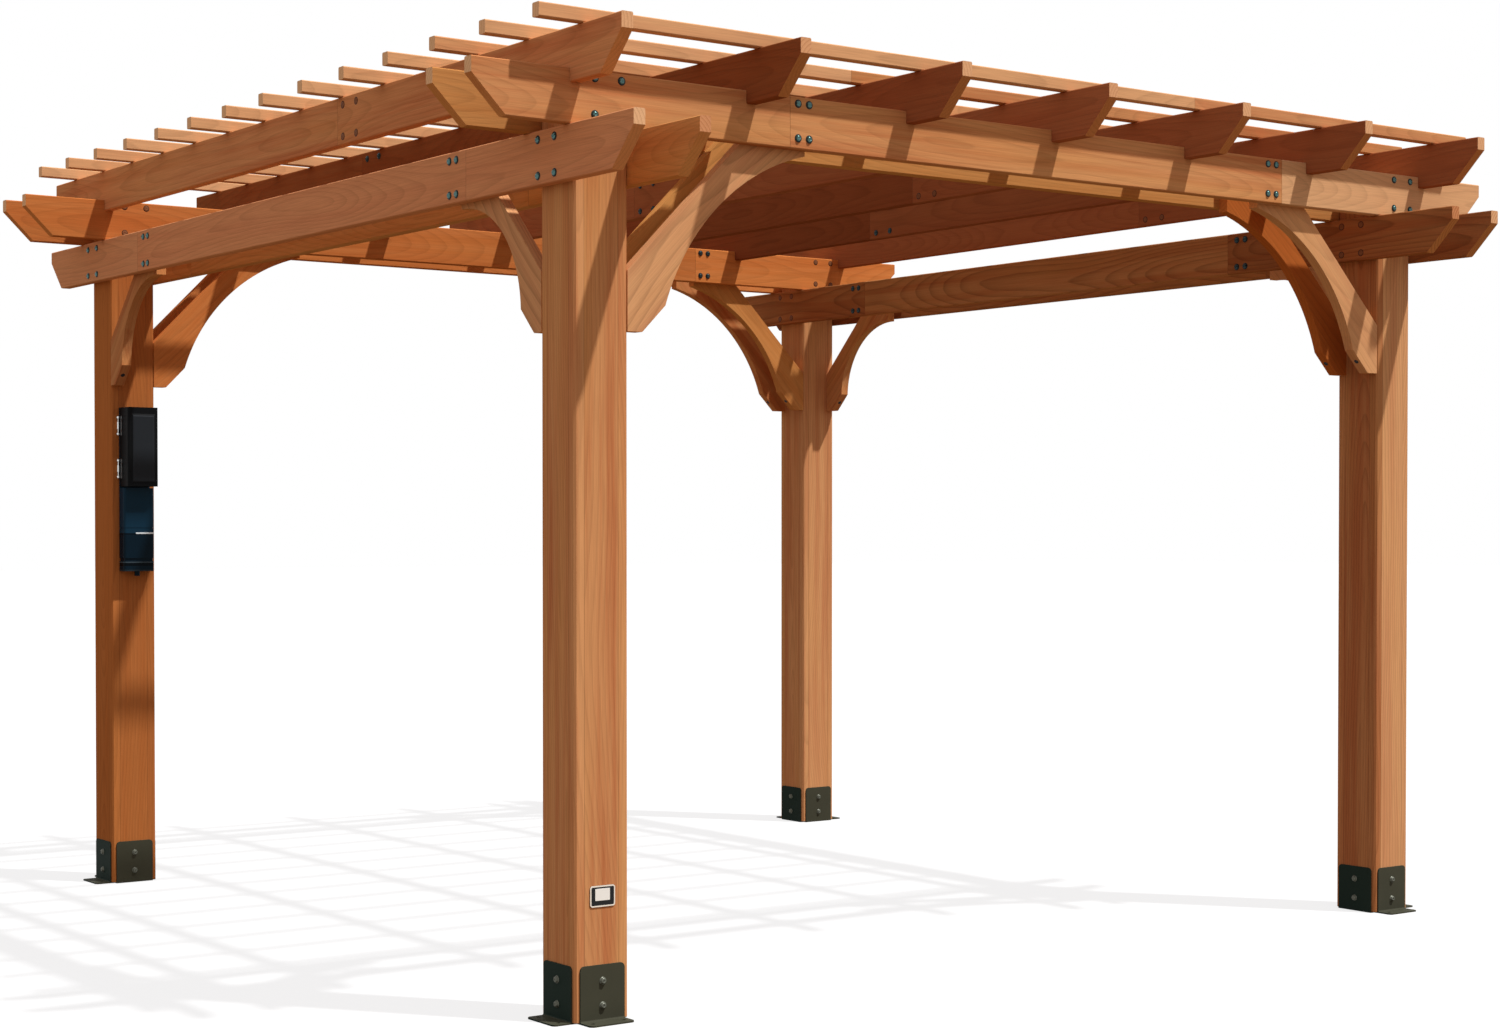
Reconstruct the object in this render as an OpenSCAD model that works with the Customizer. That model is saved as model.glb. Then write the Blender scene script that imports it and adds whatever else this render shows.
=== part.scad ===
// Free-standing timber pergola: four posts on steel shoes carry two tiers of doubled beams,
// notched rafters and a top layer of slats, with curved knee braces at every post.
// X runs from left to right along the front, Y from front to back, Z up from the ground.
// The origin is the middle of the four posts at ground level.

/* [Posts] */
// Side of each square post
post_w = 152; // [130:1:180]
// Distance between post centres from left to right
bay_x = 2916; // [2600:1:3400]
// Distance between post centres from front to back
bay_y = 2916; // [2600:1:3400]
// Clear height under the side beams
clear_h = 2022; // [1900:1:2300]
// Width of the eased edges of a post
post_ease = 5; // [2:1:10]

/* [Beams] */
// Thickness of the beam and rafter boards
board_t = 32; // [24:1:44]
// Height of the beam boards
beam_h = 131; // [115:1:150]
// Overhang of the side beams beyond the outer faces of the posts
side_beam_over = 306; // [240:1:400]
// Overhang of the front and back beams beyond the outer faces of the posts
cross_beam_over = 299; // [240:1:400]
// Width of the eased long edges of the boards and slats
board_ease = 2.5; // [1:0.5:5]
// Upright part of each board end, above its sloping cut
end_nose = 38; // [25:1:60]
// Distance from a post's centre to the middle of the lap joint in a side beam
side_lap_in = 450; // [400:1:520]
// Length of the lap joints in the side beams
side_lap_len = 124; // [90:1:150]
// Distance from a post's centre to the middle of the lap joint in a front or back beam
cross_lap_in = 588; // [540:1:640]
// Length of the lap joints in the front and back beams
cross_lap_len = 84; // [60:1:110]

/* [Rafters] */
// Number of rafters
rafter_n = 7; // [5:2:9]
// Height of a rafter board
rafter_h = 131; // [115:1:150]
// Overhang of the rafters beyond the outer faces of the posts
rafter_over = 256; // [200:1:340]
// Depth of the notches that seat a rafter on the beams
rafter_notch = 34; // [20:1:45]
// Distance from the middle of a rafter to the middle of its lap joint
rafter_lap_at = 430; // [300:1:550]
// Length of the lap joint in a rafter
rafter_lap_len = 146; // [100:1:180]

/* [Slats] */
// Number of slats
slat_n = 14; // [10:1:16]
// Width of a slat
slat_w = 30; // [22:1:40]
// Height of a slat
slat_h = 34; // [24:1:45]
// Overhang of the slats beyond the outer faces of the posts
slat_over = 154; // [100:1:240]
// Distance from each end of a rafter to the outermost slat
slat_inset = 163; // [110:1:240]

/* [Knee braces] */
// Thickness of a brace
brace_t = 32; // [24:1:44]
// Height of the foot of a brace below the side beams
brace_drop = 351; // [320:1:380]
// Height of a brace where it meets the post
brace_heel = 148; // [130:1:165]
// Width of the level foot of a side brace
side_brace_foot = 34; // [26:1:46]
// Width and height of the sloping cut beside the foot of a side brace
side_brace_cut = 63; // [50:1:75]
// Reach of a side brace from its post
side_brace_reach = 392; // [375:1:410]
// Radius of the hollow curve under a side brace
side_brace_r = 285; // [270:1:300]
// Width of the level foot of a front or back brace
cross_brace_foot = 43; // [32:1:55]
// Width and height of the sloping cut beside the foot of a front or back brace
cross_brace_cut = 68; // [55:1:80]
// Reach of a front or back brace from its post
cross_brace_reach = 540; // [520:1:560]
// Radius of the hollow curve under a front or back brace
cross_brace_r = 600; // [560:1:640]

/* [Post shoes] */
// Thickness of the shoe plate
shoe_t = 4; // [3:0.5:8]
// Width of each upright plate and foot
shoe_w = 127; // [100:1:129]
// Height of the upright plates
shoe_h = 139; // [110:1:180]
// Length of each foot beyond its upright plate
foot_len = 49; // [40:1:70]
// Radius of the plate corners
shoe_r = 12; // [6:1:18]
// Radius inside the fold between an upright plate and its foot
fold_r = 5; // [3:0.5:8]
// Distance between the two anchor holes in a foot
anchor_pitch = 88; // [70:1:96]
// Diameter of an anchor hole
anchor_d = 11; // [9:1:14]

/* [Outlet unit] */
// Width of the outlet unit
unit_w = 106; // [90:1:116]
// Distance of the outlet unit to the right of the middle of its post
unit_off = 5; // [0:1:10]
// Gap between the hinged cover and the foot of the brace above it
unit_below = 74; // [40:1:300]
// Height of the lower housing
housing_h = 279; // [220:1:340]
// Depth of the lower housing
housing_d = 42; // [36:1:60]
// Height of the lip along the bottom of the housing
lip_h = 34; // [20:1:50]
// Height of the groove above the lip
groove_h = 10; // [6:1:20]
// Depth of the groove and of the seam in the housing
groove_d = 3; // [2:0.5:6]
// Height of the seam in the housing above its underside
seam_at = 144; // [110:1:190]
// Height of the hinged cover
cover_h = 264; // [230:1:320]
// Distance from the post to the front of the cover
cover_d = 84; // [74:1:98]
// Wall of the hinged cover
cover_wall = 3; // [2:0.5:5]
// Gap between the cover and the fixed pieces
cover_gap = 5; // [5:0.5:8]
// Depth of the socket block under the cover
socket_d = 34; // [26:1:40]
// Height of the raised field on the front of the cover
panel_proud = 4; // [2:0.5:6]
// Width of the flat rim around the raised field
panel_rim = 10; // [9:1:16]
// Width of the flat rim above the raised field
panel_top = 22; // [12:1:36]
// Width of the sloping edges of the raised field
panel_slope = 9; // [5:1:15]
// Thickness of the plate behind the cover
back_plate_t = 3; // [2:0.5:5]
// Radius of the rounded upright corners of the unit
unit_r = 9; // [5:1:14]
// Diameter of the round knuckles at the ends of a hinge
knuckle_d = 11; // [10:0.5:12]
// Diameter of the straight knuckle in the middle of a hinge
barrel_d = 8; // [7:0.5:9]
// Length of the straight knuckle in the middle of a hinge
barrel_len = 23; // [18:1:26]
// Diameter of a hinge pin
pin_d = 4; // [3:0.5:5]
// Height of one hinge
hinge_h = 66; // [50:1:80]
// Distance from each end of the cover to the middle of its hinge
hinge_inset = 60; // [50:1:90]
// Diameter of the cable gland
gland_d = 18; // [14:1:24]
// Length of the cable gland
gland_len = 16; // [10:1:24]

/* [Hidden] */
$fn = 64;
// Clearances: lap joints, notches over boards, hinge pins, and knuckles end to end
lap_gap = 0.4;
notch_gap = 0.5;
pin_gap = 0.3;
knuckle_gap = 0.5;
cut_over = 1;
fold_let = 0.2;
// Clearance above a brace that runs up between the beam boards
brace_clear = 4;

// Levels from the ground up
cross_z = clear_h + beam_h;
beam_top = cross_z + beam_h;
rafter_z = beam_top - rafter_notch;
rafter_top = rafter_z + rafter_h;
brace_z = clear_h - brace_drop;

// Places of the posts and of the board faces beside them
post_x = bay_x/2;
post_y = bay_y/2;
post_half = post_w/2;
outer_x = post_x + post_half + board_t;
outer_y = post_y + post_half + board_t;
rafter_pitch = (2*outer_x - board_t)/(rafter_n - 1);

// Lengths over all, from the posts and the overhangs
side_beam_len = bay_y + post_w + 2*side_beam_over;
cross_beam_len = bay_x + post_w + 2*cross_beam_over;
rafter_len = bay_y + post_w + 2*rafter_over;
slat_len = bay_x + post_w + 2*slat_over;
slat_pitch = (rafter_len - 2*slat_inset - slat_w)/(slat_n - 1);

// A brace runs up between the beam boards to just below their top, and its tip is square below them
brace_tail = beam_h - brace_clear;
brace_tip = 12;

// The outlet unit hangs below the brace on the front face of the back left post
unit_y = post_y - post_half;
cover_z = brace_z - unit_below - cover_h;
unit_top = cover_z - cover_gap;
unit_z = unit_top - housing_h;
seam_h = 2;
cover_back = back_plate_t + cover_gap;
hinge_x = -unit_w/2 - knuckle_d/2 - knuckle_gap;
hinge_y = -cover_back;
leaf_t = 2;
leaf_len = 22;
leaf_relief = 1.5;
tab_h = 8;
strap_t = 4;
socket_inset = cover_wall + cover_gap;

CORNERS = [["front_left", -1, -1], ["front_right", 1, -1], ["back_left", -1, 1], ["back_right", 1, 1]];
SIDES = [["left", -1], ["right", 1]];
ENDS = [["front", -1], ["back", 1]];
SEATS = [["outer", 0], ["inner", 1]];

function two_digits(i) = str(i < 10 ? "0" : "", i);
function post_name(c) = str("post_", c[0]);
function shoe_name(c) = str("post_shoe_", c[0]);
function brace_name(c) = str("knee_braces_", c[0]);
function beam_name(s, b) = str(s[0], "_beam_", b[0]);
function rafter_name(i) = str("rafter_", i + 1);
function slat_name(i) = str("slat_", two_digits(i + 1));

// Square with its four corners cut off
module eased_square(side, ease) {
    half = side/2;
    in = half - ease;
    polygon([
        [half, in], [in, half], [-in, half], [-half, in],
        [-half, -in], [-in, -half], [in, -half], [half, -in]
    ]);
}

// Board section from y = 0 to h with its four corners cut off
module eased_section(t, h, ease) {
    polygon([
        [ease, 0], [t - ease, 0], [t, ease], [t, h - ease],
        [t - ease, h], [ease, h], [0, h - ease], [0, ease]
    ]);
}

// Rectangle from x = -w/2 to w/2 and y = 0 to h with its far corners rounded
module round_ended(w, h, r) {
    translate([-w/2, 0]) square([w, h - r]);
    translate([-w/2 + r, 0]) square([w - 2*r, h]);
    for (s = [-1, 1])
        translate([s*(w/2 - r), h - r]) circle(r);
}

// Side view of a board: an upright nose over a 45 degree cut at both ends
module board_outline(len, h) {
    half = len/2;
    run = h - end_nose;
    polygon([[-half, h], [half, h], [half, run], [half - run, 0], [run - half, 0], [-half, run]]);
}

// Board along X, with its outward face at y = 0 and its inward face at y = board_t
module board(len, h) {
    intersection() {
        translate([0, board_t, 0])
            rotate([90, 0, 0]) linear_extrude(board_t) board_outline(len, h);
        translate([-len/2 - cut_over, 0, 0])
            rotate([90, 0, 90]) linear_extrude(len + 2*cut_over) eased_section(board_t, h, board_ease);
    }
}

// Block across a board's height, from x = a to b, and through its outward face to a depth
module lap_block(a, b, depth, h) {
    translate([a, -cut_over, -cut_over])
        cube([b - a, depth + cut_over, h + 2*cut_over]);
}

// Beam board in three lengths: the middle one laps over the outward half of both ends
module beam_board(len, lap_at, lap_len) {
    near = lap_at - lap_len/2;
    far = lap_at + lap_len/2;
    through = board_t + cut_over;
    intersection() {
        board(len, beam_h);
        union() {
            lap_block(-near, near, through, beam_h);
            lap_block(-far, far, board_t/2, beam_h);
        }
    }
    difference() {
        board(len, beam_h);
        lap_block(-near - lap_gap, near + lap_gap, through, beam_h);
        lap_block(-far - lap_gap, far + lap_gap, board_t/2 + lap_gap, beam_h);
    }
}

// Rafter board with a notch over each of the four beam boards
module notched_board() {
    notch_w = board_t + 2*notch_gap;
    difference() {
        board(rafter_len, rafter_h);
        for (end = [-1, 1])
            for (side = [-1, 1])
                translate([end*(post_y + side*(post_half + board_t/2)) - notch_w/2, -cut_over, -cut_over])
                    cube([notch_w, board_t + 2*cut_over, rafter_notch + cut_over]);
    }
}

// Rafter in two lengths that lap side by side, off the middle
module rafter_board() {
    near = rafter_lap_at - rafter_lap_len/2;
    far = rafter_lap_at + rafter_lap_len/2;
    through = board_t + cut_over;
    end = rafter_len/2 + cut_over;
    intersection() {
        notched_board();
        union() {
            lap_block(far, end, through, rafter_h);
            lap_block(near, end, board_t/2, rafter_h);
        }
    }
    difference() {
        notched_board();
        lap_block(far - lap_gap, end, through, rafter_h);
        lap_block(near - lap_gap, end, board_t/2 + lap_gap, rafter_h);
    }
}

// Centre of the circle of radius r through (x1, y1) and (x2, y2) that lies below both
function hollow_centre(x1, y1, x2, y2, r) =
    let (dx = x2 - x1, dy = y2 - y1, d = sqrt(dx*dx + dy*dy), back = sqrt(r*r - d*d/4))
    [(x1 + x2)/2 + back*dy/d, (y1 + y2)/2 - back*dx/d];

// Brace seen from its side: x away from the post, y up from its foot, under = the beam's underside
module brace_outline(foot, cut, reach, r, under) {
    top = under + brace_tail;
    cut_x = foot + cut;
    difference() {
        polygon([
            [0, 0], [foot, 0], [cut_x, cut], [reach, cut],
            [reach, top], [top - brace_heel, top], [0, brace_heel]
        ]);
        translate(hollow_centre(cut_x, cut, reach, under - brace_tip, r)) circle(r);
    }
}

module cross_brace() {
    under = cross_z - brace_z;
    translate([0, brace_t, 0])
        rotate([90, 0, 0]) linear_extrude(brace_t)
            brace_outline(cross_brace_foot, cross_brace_cut, cross_brace_reach, cross_brace_r, under);
}

module side_brace() {
    rotate([90, 0, 90]) linear_extrude(brace_t)
        brace_outline(side_brace_foot, side_brace_cut, side_brace_reach, side_brace_r, brace_drop);
}

// Posts

module post(c) {
    color("#b9784a")
    translate([c[1]*post_x, c[2]*post_y, shoe_t])
        linear_extrude(beam_top - shoe_t) eased_square(post_w, post_ease);
}

// Steel shoe: a cross under the post, four upright plates, and a foot on the two outer sides
module post_shoe(c) {
    color("#2b2c29")
    translate([c[1]*post_x, c[2]*post_y, 0]) {
        for (turn = [0, 90])
            rotate(turn) translate([-post_half - shoe_t, -shoe_w/2, 0])
                cube([post_w + 2*shoe_t, shoe_w, shoe_t]);
        for (turn = [0:90:270])
            rotate(turn) translate([post_half, 0, 0])
                rotate([90, 0, 90]) linear_extrude(shoe_t) round_ended(shoe_w, shoe_h, shoe_r);
        for (turn = [90 - 90*c[1], 90*c[2]])
            rotate(turn) translate([post_half, 0, 0]) shoe_foot();
    }
}

module shoe_foot() {
    rotate(-90) linear_extrude(shoe_t)
        difference() {
            round_ended(shoe_w, shoe_t + foot_len, shoe_r);
            for (s = [-1, 1])
                translate([s*anchor_pitch/2, shoe_t + foot_len/2]) circle(d = anchor_d);
        }
    translate([shoe_t, shoe_w/2, shoe_t]) rotate([90, 0, 0]) linear_extrude(shoe_w) fold_section();
}

// Hollow corner in the fold, with its arc let a little into both faces
module fold_section() {
    difference() {
        translate([-cut_over, -cut_over]) square(fold_r + cut_over);
        translate([fold_r, fold_r]) circle(fold_r + fold_let);
    }
}

// Two braces along the front or back beam, flush with the post's faces, and one along the side beam
module knee_braces(c) {
    color("#b06f42")
    mirror([c[1] > 0 ? 1 : 0, 0, 0]) mirror([0, c[2] > 0 ? 1 : 0, 0])
    translate([-post_x, -post_y, brace_z]) {
        for (y = [-post_half, post_half - brace_t])
            translate([post_half, y, 0]) cross_brace();
        translate([-post_half, post_half, 0]) side_brace();
    }
}

// Beams

module side_beam(s, b) {
    color("#a8683f")
    mirror([s[1] > 0 ? 1 : 0, 0, 0])
    translate([-outer_x + b[1]*(post_w + board_t), 0, clear_h])
        rotate(-90) beam_board(side_beam_len, post_y - side_lap_in, side_lap_len);
}

module cross_beam(s, b) {
    color("#c0814f")
    mirror([0, s[1] > 0 ? 1 : 0, 0])
    translate([0, -outer_y + b[1]*(post_w + board_t), cross_z])
        beam_board(cross_beam_len, post_x - cross_lap_in, cross_lap_len);
}

// Rafters stand side by side over the outer side beams and between; every second one is turned round
module rafter(i) {
    color("#9c5f3b")
    translate([-outer_x + board_t/2 + i*rafter_pitch, 0, rafter_z])
        rotate(i % 2 == 0 ? 0 : 180) translate([-board_t/2, 0, 0]) rotate(-90) rafter_board();
}

module slat(i) {
    color("#c98d5d")
    translate([-slat_len/2, (i - (slat_n - 1)/2)*slat_pitch - slat_w/2, rafter_top])
        rotate([90, 0, 90]) linear_extrude(slat_len) eased_section(slat_w, slat_h, board_ease);
}

// Outlet unit, drawn from the middle of its back with y = 0 on the post

module on_unit_post() {
    translate([-post_x + unit_off, unit_y, 0]) children();
}

// Plan of the unit, out from y = -back to y = -front, round at its front corners
module unit_plan(w, back, front, r) {
    translate([0, -back]) rotate(180) round_ended(w, front - back, r);
}

// Length of the housing between two heights above its underside
module housing_part(from, to, inset) {
    translate([0, 0, unit_z + from]) linear_extrude(to - from)
        unit_plan(unit_w - 2*inset, 0, housing_d - inset, unit_r - inset);
}

// Housing of three bands on a core that shows in the groove and the seam, and the socket block above
module outlet_housing() {
    block_w = unit_w - 2*socket_inset;
    block_z = cover_z + socket_inset;
    color("#15181b")
    on_unit_post() {
        housing_part(0, lip_h, 0);
        housing_part(lip_h + groove_h, seam_at, 0);
        housing_part(seam_at + seam_h, housing_h, 0);
        housing_part(cut_over, housing_h - cut_over, groove_d);
        translate([-unit_w/2, -back_plate_t, unit_top])
            cube([unit_w, back_plate_t, cover_gap + cover_h]);
        translate([-block_w/2, -socket_d, block_z])
            cube([block_w, socket_d, cover_h - 2*socket_inset]);
        translate([0, -housing_d/2, unit_z - gland_len]) cylinder(d = gland_d, h = gland_len + cut_over);
    }
}

// Field with sloping edges, proud of y = 0, from z = 0 to h
module raised_field(w, h) {
    top = w/2 - panel_slope;
    intersection() {
        linear_extrude(h) polygon([[-w/2, 0], [-top, -panel_proud], [top, -panel_proud], [w/2, 0]]);
        translate([-w/2, 0, 0]) rotate([90, 0, 90]) linear_extrude(w)
            polygon([[0, 0], [0, h], [-panel_proud, h - panel_slope], [-panel_proud, panel_slope]]);
    }
}

module outlet_cover() {
    front = cover_d - panel_proud;
    room_w = unit_w - 2*cover_wall;
    color("#1d1f20")
    on_unit_post() translate([0, 0, cover_z]) {
        difference() {
            linear_extrude(cover_h) unit_plan(unit_w, cover_back, front, unit_r);
            translate([0, 0, cover_wall]) linear_extrude(cover_h - 2*cover_wall)
                unit_plan(room_w, cover_back - cut_over, front - cover_wall, unit_r - cover_wall);
        }
        translate([0, -front, panel_rim])
            raised_field(unit_w - 2*panel_rim, cover_h - panel_rim - panel_top);
    }
}

module at_hinges() {
    for (z = [cover_z + hinge_inset, cover_z + cover_h - hinge_inset])
        on_unit_post() translate([hinge_x, hinge_y, z]) children();
}

// Fixed half of each hinge: straight middle knuckle, pin, and a strap back to the plate
module outlet_hinges() {
    color("#b9bcc0")
    at_hinges() {
        cylinder(d = pin_d, h = hinge_h - knuckle_d/2, center = true);
        cylinder(d = barrel_d, h = barrel_len, center = true);
        translate([-strap_t/2, 0, -barrel_len/2]) cube([strap_t, cover_back, barrel_len]);
        translate([0, cover_back - back_plate_t, -barrel_len/2])
            cube([-unit_w/2 - hinge_x, back_plate_t, barrel_len]);
    }
}

// Moving half of each hinge: two round bored knuckles on a leaf along the cover's side
module cover_hinge_leaves() {
    side = -unit_w/2 - hinge_x;
    relief = knuckle_d/2 + leaf_relief;
    color("#b9bcc0")
    at_hinges() {
        translate([side - leaf_t, -leaf_len, -hinge_h/2]) cube([leaf_t, leaf_len - relief, hinge_h]);
        for (end = [-1, 1])
            translate([0, 0, end*(hinge_h - knuckle_d)/2]) difference() {
                union() {
                    sphere(d = knuckle_d);
                    translate([side - leaf_t, -relief - cut_over, -tab_h/2])
                        cube([leaf_t, relief + cut_over, tab_h]);
                }
                cylinder(d = pin_d + 2*pin_gap, h = knuckle_d + 2*cut_over, center = true);
            }
    }
}

for (c = CORNERS) post(c);
for (c = CORNERS) post_shoe(c);
for (c = CORNERS) knee_braces(c);
for (s = SIDES) for (b = SEATS) side_beam(s, b);
for (s = ENDS) for (b = SEATS) cross_beam(s, b);
for (i = [0:rafter_n - 1]) rafter(i);
for (i = [0:slat_n - 1]) slat(i);
outlet_housing();
outlet_hinges();
outlet_cover();
cover_hinge_leaves();
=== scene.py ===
import math
import bpy
import numpy as np
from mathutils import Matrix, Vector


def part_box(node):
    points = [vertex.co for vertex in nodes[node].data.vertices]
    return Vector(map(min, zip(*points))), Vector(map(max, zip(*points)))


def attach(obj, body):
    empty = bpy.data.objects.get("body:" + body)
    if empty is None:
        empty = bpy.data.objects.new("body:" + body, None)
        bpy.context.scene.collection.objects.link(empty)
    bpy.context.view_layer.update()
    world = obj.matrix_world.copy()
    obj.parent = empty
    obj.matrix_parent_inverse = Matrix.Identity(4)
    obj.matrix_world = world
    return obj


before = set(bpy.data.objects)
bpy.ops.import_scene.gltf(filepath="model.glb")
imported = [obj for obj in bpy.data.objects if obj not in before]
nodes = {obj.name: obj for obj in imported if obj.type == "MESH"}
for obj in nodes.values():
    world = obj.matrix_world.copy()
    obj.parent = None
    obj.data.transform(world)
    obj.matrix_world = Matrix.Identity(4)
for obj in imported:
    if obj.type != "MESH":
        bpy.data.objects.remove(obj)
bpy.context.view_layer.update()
print("frame loaded,", len(nodes), "nodes")

# camera: stands off the front left corner at about chest height, level but for a small tilt
cameraSet = {
    "place": (-4.6653, -6.5333, 1.1927),
    "turn": 36.093,  # degrees to the right of straight ahead
    "tilt": -0.924,
    "focal": 2459.5,  # pixels, in a frame 1500 wide
    "middle": (748.0, 568.0),  # pixel that the lens looks at
    "frame": (1500, 1028),
    "sensor": 36.0,  # millimetres
}


def makeCamera(s):
    width, height = s["frame"]
    data = bpy.data.cameras.new("camera")
    data.sensor_width = s["sensor"]
    data.lens = s["sensor"] * s["focal"] / width
    data.shift_x = (width / 2 - s["middle"][0]) / width
    data.shift_y = (s["middle"][1] - height / 2) / width
    cam = bpy.data.objects.new("camera", data)
    cam.location = s["place"]
    cam.rotation_euler = (math.radians(90 + s["tilt"]), 0, -math.radians(s["turn"]))
    bpy.context.scene.collection.objects.link(cam)
    bpy.context.scene.camera = cam


makeCamera(cameraSet)

# light: one soft sun from the front right, an even pale sky, and a floor that shows white
lightSet = {
    "sunFrom": (0.278, -0.375, 0.884),
    "sunStrength": 4.4,
    "sunSpread": 1.5,  # degrees, softens the shadows
    "sky": 0.61,
    "skyColour": (1.0, 0.905, 0.920),  # a little warm, as beside wood
    "floorBack": (0.160, 0.115, 0.072),  # what the floor sends back to the object
    "floorPale": 0.78,
    "floorGlow": 0.80,  # share of plain white in the floor as the camera sees it
    "floorHalf": 60.0,  # half the floor's side, metres
}
plainWhite = (1, 1, 1, 1)


def link(tree, a, b):
    tree.links.new(a, b)


def seenDirectly(tree):
    # 1 where the camera, a mirror or glass looks, 0 for the light that falls on the object
    path = tree.nodes.new("ShaderNodeLightPath")
    seen = path.outputs["Is Camera Ray"]
    for label in ("Is Glossy Ray", "Is Transmission Ray"):
        either = tree.nodes.new("ShaderNodeMath")
        either.operation = "MAXIMUM"
        link(tree, seen, either.inputs[0])
        link(tree, path.outputs[label], either.inputs[1])
        seen = either.outputs[0]
    return seen


def makeSky(s):
    bpy.context.scene.view_settings.view_transform = "Standard"
    world = bpy.data.worlds.new("paleSky")
    bpy.context.scene.world = world
    world.use_nodes = True
    t = world.node_tree
    t.nodes.clear()
    white = t.nodes.new("ShaderNodeBackground")
    white.inputs["Color"].default_value = plainWhite
    white.inputs["Strength"].default_value = 1.0
    sky = t.nodes.new("ShaderNodeBackground")
    sky.inputs["Color"].default_value = s["skyColour"] + (1,)
    sky.inputs["Strength"].default_value = s["sky"]
    mix = t.nodes.new("ShaderNodeMixShader")
    out = t.nodes.new("ShaderNodeOutputWorld")
    link(t, seenDirectly(t), mix.inputs[0])
    link(t, sky.outputs[0], mix.inputs[1])
    link(t, white.outputs[0], mix.inputs[2])
    link(t, mix.outputs[0], out.inputs["Surface"])


def makeSun(s):
    lamp = bpy.data.lights.new("sun", "SUN")
    lamp.energy = s["sunStrength"]
    lamp.angle = math.radians(s["sunSpread"])
    sun = bpy.data.objects.new("sun", lamp)
    x, y, z = np.array(s["sunFrom"]) / np.linalg.norm(s["sunFrom"])
    sun.rotation_euler = (math.acos(z), 0, math.atan2(x, -y))
    bpy.context.scene.collection.objects.link(sun)


def makeFloor(s):
    half = s["floorHalf"]
    mesh = bpy.data.meshes.new("floor")
    corners = [(-half, -half, 0), (half, -half, 0), (half, half, 0), (-half, half, 0)]
    mesh.from_pydata(corners, [], [(0, 1, 2, 3)])
    floor = bpy.data.objects.new("floor", mesh)
    bpy.context.scene.collection.objects.link(floor)
    mat = bpy.data.materials.new("paleFloor")
    mat.use_nodes = True
    t = mat.node_tree
    t.nodes.clear()
    dull = t.nodes.new("ShaderNodeBsdfDiffuse")
    dull.inputs["Color"].default_value = s["floorBack"] + (1,)
    pale = t.nodes.new("ShaderNodeBsdfDiffuse")
    pale.inputs["Color"].default_value = (s["floorPale"],) * 3 + (1,)
    glow = t.nodes.new("ShaderNodeEmission")
    glow.inputs["Color"].default_value = plainWhite
    glow.inputs["Strength"].default_value = 1.0
    shown = t.nodes.new("ShaderNodeMixShader")
    shown.inputs[0].default_value = s["floorGlow"]
    link(t, pale.outputs[0], shown.inputs[1])
    link(t, glow.outputs[0], shown.inputs[2])
    mix = t.nodes.new("ShaderNodeMixShader")
    link(t, seenDirectly(t), mix.inputs[0])
    link(t, dull.outputs[0], mix.inputs[1])
    link(t, shown.outputs[0], mix.inputs[2])
    out = t.nodes.new("ShaderNodeOutputMaterial")
    link(t, mix.outputs[0], out.inputs["Surface"])
    mesh.materials.append(mat)


makeSky(lightSet)
makeSun(lightSet)
makeFloor(lightSet)
print("camera, light and floor made")


# node helpers: each takes sockets or plain numbers and gives back an output socket
def feed(tree, value, socket):
    if isinstance(value, bpy.types.NodeSocket):
        link(tree, value, socket)
    else:
        socket.default_value = value


def calc(tree, operation, *values, clamp=False):
    n = tree.nodes.new("ShaderNodeMath")
    n.operation = operation
    n.use_clamp = clamp
    for i, v in enumerate(values):
        feed(tree, v, n.inputs[i])
    return n.outputs[0]


def plus(tree, a, b):
    return calc(tree, "ADD", a, b)


def minus(tree, a, b):
    return calc(tree, "SUBTRACT", a, b)


def times(tree, a, b):
    return calc(tree, "MULTIPLY", a, b)


def share(tree, a, gain=1.0):
    return calc(tree, "MULTIPLY", a, gain, clamp=True)


def over(tree, a, b):
    return calc(tree, "GREATER_THAN", a, b)


def under(tree, a, b):
    return calc(tree, "LESS_THAN", a, b)


def sizeOf(tree, a):
    return calc(tree, "ABSOLUTE", a)


def nearer(tree, a, first, second):
    # distance to the nearer of two places
    return calc(tree, "MINIMUM", sizeOf(tree, minus(tree, a, first)), sizeOf(tree, minus(tree, a, second)))


def soften(tree, value, low, high, toLow=0.0, toHigh=1.0):
    n = tree.nodes.new("ShaderNodeMapRange")
    n.interpolation_type = "SMOOTHSTEP"
    for i, v in enumerate((value, low, high, toLow, toHigh)):
        feed(tree, v, n.inputs[i])
    return n.outputs[0]


def blend(tree, amount, a, b, kind="MIX"):
    n = tree.nodes.new("ShaderNodeMix")
    n.data_type = "RGBA"
    n.blend_type = kind
    feed(tree, amount, n.inputs[0])
    feed(tree, a, n.inputs[6])
    feed(tree, b, n.inputs[7])
    return n.outputs[2]


def point(tree, x, y, z):
    n = tree.nodes.new("ShaderNodeCombineXYZ")
    for i, v in enumerate((x, y, z)):
        feed(tree, v, n.inputs[i])
    return n.outputs[0]


def splitUp(tree, vector):
    n = tree.nodes.new("ShaderNodeSeparateXYZ")
    link(tree, vector, n.inputs[0])
    return n.outputs


def shaded(tree, colour, shade):
    return blend(tree, 1.0, colour, point(tree, shade, shade, shade), "MULTIPLY")


def noise(tree, vector, scale=1.0, detail=2.0, rough=0.5, dimensions="3D"):
    n = tree.nodes.new("ShaderNodeTexNoise")
    n.noise_dimensions = dimensions
    feed(tree, vector, n.inputs["W" if dimensions == "1D" else "Vector"])
    n.inputs["Scale"].default_value = scale
    n.inputs["Detail"].default_value = detail
    n.inputs["Roughness"].default_value = rough
    return n.outputs[0]


def centred(tree, value):
    # noise from 0 to 1 brought either side of nought
    return minus(tree, value, 0.5)


def sway(tree, value, detail):
    # noise along a line, either side of nought
    return centred(tree, noise(tree, value, 1.0, detail, dimensions="1D"))


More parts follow.
